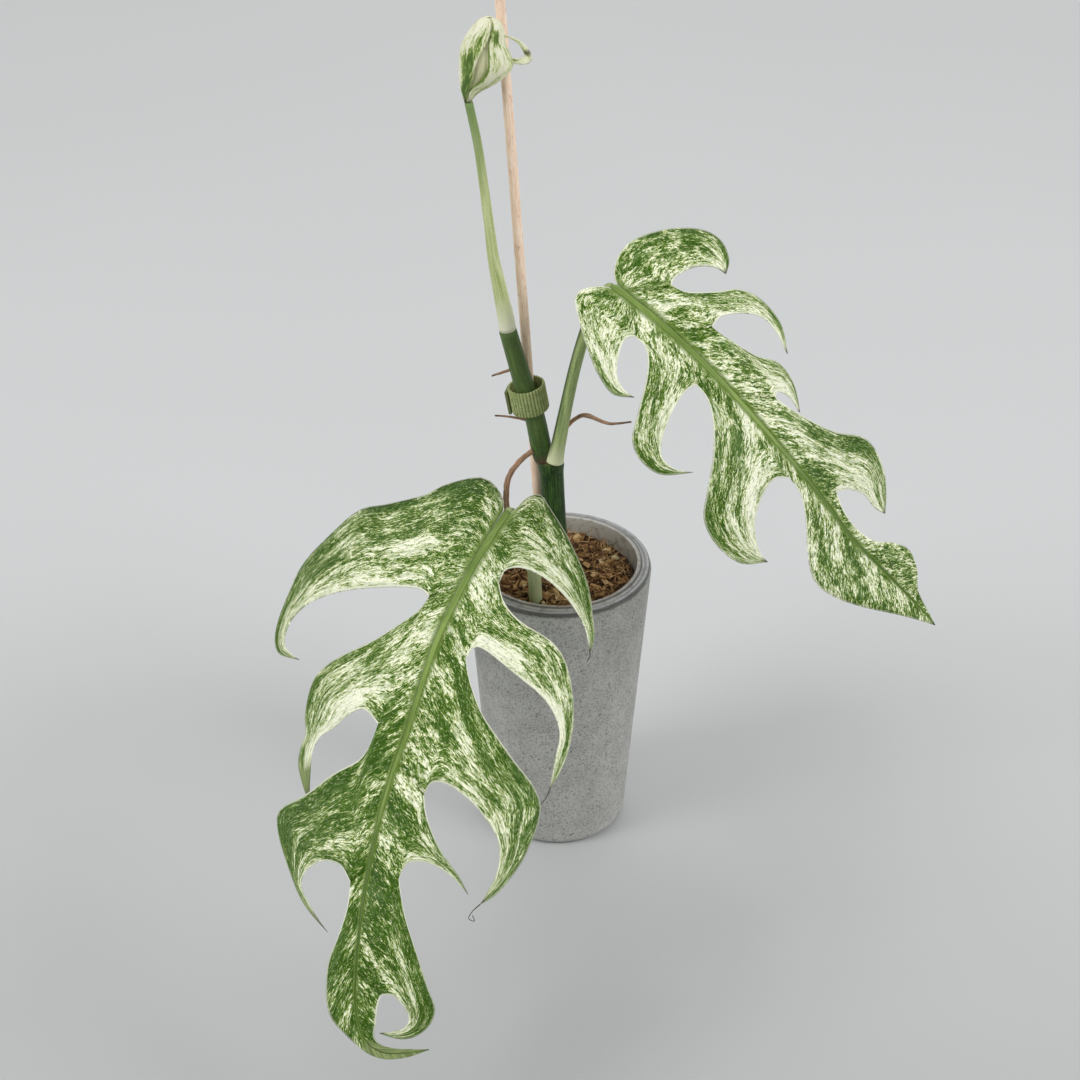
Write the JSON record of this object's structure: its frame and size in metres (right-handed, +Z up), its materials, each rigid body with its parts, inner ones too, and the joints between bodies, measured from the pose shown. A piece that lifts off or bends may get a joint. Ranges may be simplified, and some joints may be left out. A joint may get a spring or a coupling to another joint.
{
  "type": "potted aroid plant",
  "caption": "Potted climbing aroid with pale marbled, deeply lobed leaves, tied to a thin stick, in a clear liner inside a tapered grey pot.",
  "frame": {"origin": "centre of the outer pot's underside, on the surface it stands on", "axes": "+Z up along the pot's axis; +X to the viewer's right of the plant's front; +Y away from the viewer, so the big leaf reaches towards -Y"},
  "size_m": [0.3679, 0.3583, 0.5452],
  "materials": {
    "stone_grey": "matt speckled mid grey, like fine cast stone",
    "clear_plastic": "thin clear plastic, slightly scuffed",
    "bark_mix": "loose brown bark chips and coir fibre",
    "dark_stem": "dark green, finely striped along its length",
    "sage_stalk": "soft sage green, finely striped along its length",
    "young_stalk": "light yellow-green, smooth",
    "marbled_leaf": "satin leaf, cream and green marbling along the side veins",
    "dry_root": "dull brown, dry",
    "pale_wood": "bare pale wood",
    "olive_strap": "ribbed woven hook-and-loop strap"
  },
  "bodies": {
    "root": {"outer_pot": "stone_grey", "liner_pot": "clear_plastic", "potting_mix": "bark_mix", "vine_stem": "dark_stem", "petiole_lower": "sage_stalk", "petiole_upper": "sage_stalk", "petiole_new": "young_stalk", "leaf_lower": "marbled_leaf", "leaf_upper": "marbled_leaf", "leaf_new": "marbled_leaf", "stake": "pale_wood", "tie": "olive_strap", "aerial_root_1": "dry_root", "aerial_root_2": "dry_root", "aerial_root_3": "dry_root", "aerial_root_4": "dry_root"}
  },
  "joints": []
}
